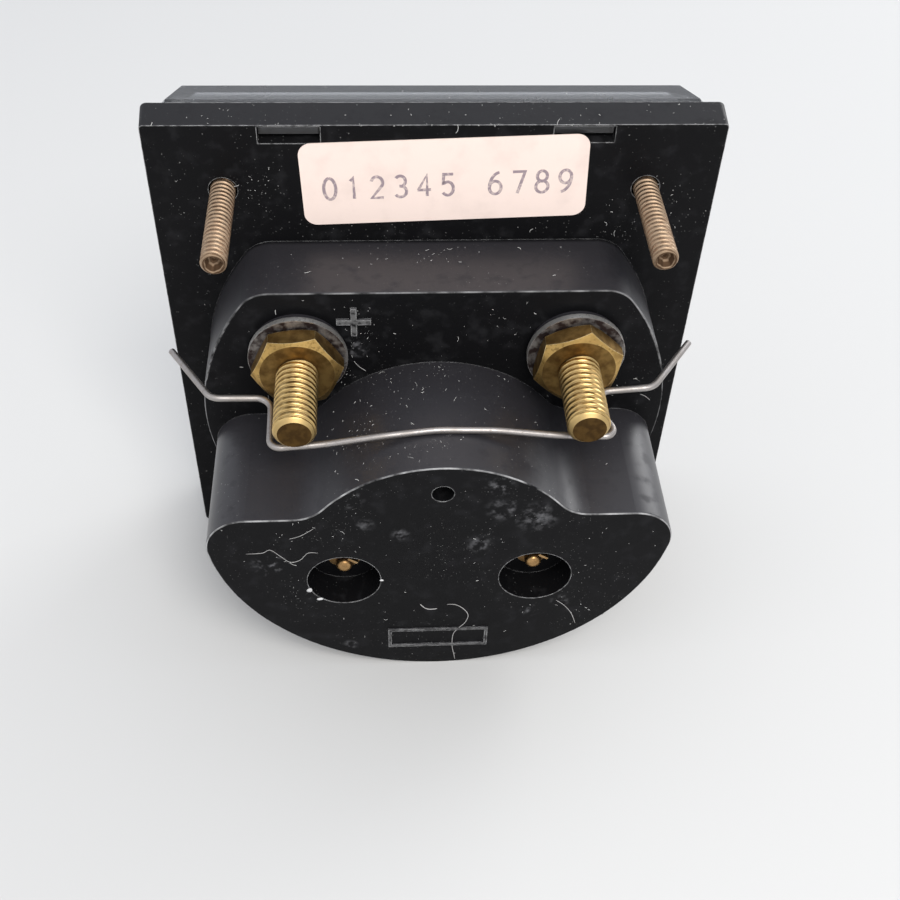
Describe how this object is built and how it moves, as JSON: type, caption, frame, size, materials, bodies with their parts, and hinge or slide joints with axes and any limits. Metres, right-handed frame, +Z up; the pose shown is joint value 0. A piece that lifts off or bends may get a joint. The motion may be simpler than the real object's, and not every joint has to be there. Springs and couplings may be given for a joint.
{
  "type": "analog panel meter",
  "caption": "Square moving-coil panel meter seen from behind: black moulded case, brass mounting screws, screw terminals bridged by a shorting wire, clear front cover.",
  "frame": {"origin": "centre of the mounting screws, on the rear face of the flange that seats against the panel", "axes": "+Y out of the back of the meter, along the mounting screws; +Z up, towards the label; +X towards the positive terminal"},
  "size_m": [0.0648, 0.0374, 0.0648],
  "materials": {
    "case_black": "black satin moulded thermoset, worn",
    "clear_plastic": "clear moulded styrene",
    "mask_black": "matt black painted sheet",
    "mounting_brass": "dull coppery brass",
    "terminal_brass": "golden brass with bright edges",
    "nut_brass": "golden brass, handled",
    "washer_metal": "dull grey-brown plated",
    "lug_tin": "tinned",
    "wire_tin": "pale tinned wire",
    "label_paper": "uncoated cream pink paper",
    "post_brass": "pale brass",
    "ring_steel": "zinc plated steel",
    "magnet_grey": "ground cast magnet",
    "bridge_aluminium": "satin",
    "screw_steel": "nickel plated",
    "former_aluminium": "bright",
    "winding_copper": "enamelled copper wire",
    "staff_steel": "polished",
    "pointer_black": "matt black painted",
    "weight_brass": "fine brass wire coil",
    "spring_bronze": "phosphor bronze",
    "dial_white": "satin white painted",
    "stop_brass": "plain",
    "adjuster_black": "satin",
    "lead_red": "insulated lead",
    "lead_black": "insulated lead"
  },
  "bodies": {
    "case": {"rear_housing": "case_black", "front_cover": "clear_plastic", "lower_mask": "mask_black", "mounting_screw_upper_left": "mounting_brass", "mounting_screw_upper_right": "mounting_brass", "mounting_screw_lower_left": "mounting_brass", "mounting_screw_lower_right": "mounting_brass", "solder_lug_positive": "lug_tin", "solder_lug_negative": "lug_tin", "terminal_stud_positive": "terminal_brass", "terminal_stud_negative": "terminal_brass", "terminal_washer_positive": "washer_metal", "terminal_washer_negative": "washer_metal", "terminal_nut_positive": "nut_brass", "terminal_nut_negative": "nut_brass", "shorting_wire": "wire_tin", "paper_label": "label_paper", "movement_post_left": "post_brass", "movement_post_right": "post_brass", "pocket_tab_left": "post_brass", "pocket_tab_right": "post_brass", "yoke_ring": "ring_steel", "core_magnet": "magnet_grey", "core_spacer_upper": "weight_brass", "core_spacer_lower": "weight_brass", "front_bridge": "bridge_aluminium", "rear_bridge": "bridge_aluminium", "bridge_screw_front_left": "screw_steel", "bridge_screw_front_right": "screw_steel", "bridge_screw_rear_upper": "screw_steel", "bridge_screw_rear_lower": "screw_steel", "jewel_screw_front": "weight_brass", "jewel_screw_rear": "weight_brass", "rear_hairspring": "spring_bronze", "rear_spring_anchor": "weight_brass", "dial_plate": "dial_white", "dial_screw_left": "screw_steel", "dial_screw_right": "screw_steel", "pointer_stop_zero": "stop_brass", "pointer_stop_full": "stop_brass", "lead_wire_positive": "lead_red", "lead_wire_negative": "lead_black"},
    "moving_coil": {"coil_former": "former_aluminium", "coil_winding": "winding_copper", "front_staff": "staff_steel", "rear_staff": "staff_steel", "pointer": "pointer_black", "balance_weight_tail": "weight_brass", "balance_weight_left": "weight_brass", "balance_weight_right": "weight_brass"},
    "zero_adjuster_knob": {"zero_adjuster": "adjuster_black"},
    "zero_arm_lever": {"zero_arm": "weight_brass", "front_hairspring": "spring_bronze"}
  },
  "joints": [
    {"name": "pointer_swing", "type": "hinge", "parent": "case", "child": "moving_coil", "pos_m": [0, 0.009, -0.0109], "axis": [0, 1, 0], "range_deg": [-3, 93], "stiffness_Nm_per_rad": 0.00002},
    {"name": "zero_adjust", "type": "hinge", "parent": "case", "child": "zero_adjuster_knob", "pos_m": [0, -0.009, -0.0189], "axis": [0, 1, 0], "range_deg": [-40, 40]},
    {"name": "zero_arm_turn", "type": "hinge", "parent": "case", "child": "zero_arm_lever", "pos_m": [0, -0.002, -0.0109], "axis": [0, 1, 0], "range_deg": [-4.4, 4.4]}
  ],
  "couplings": [
    {"joint": "zero_arm_turn", "follows": "zero_adjust", "ratio": -0.105}
  ]
}
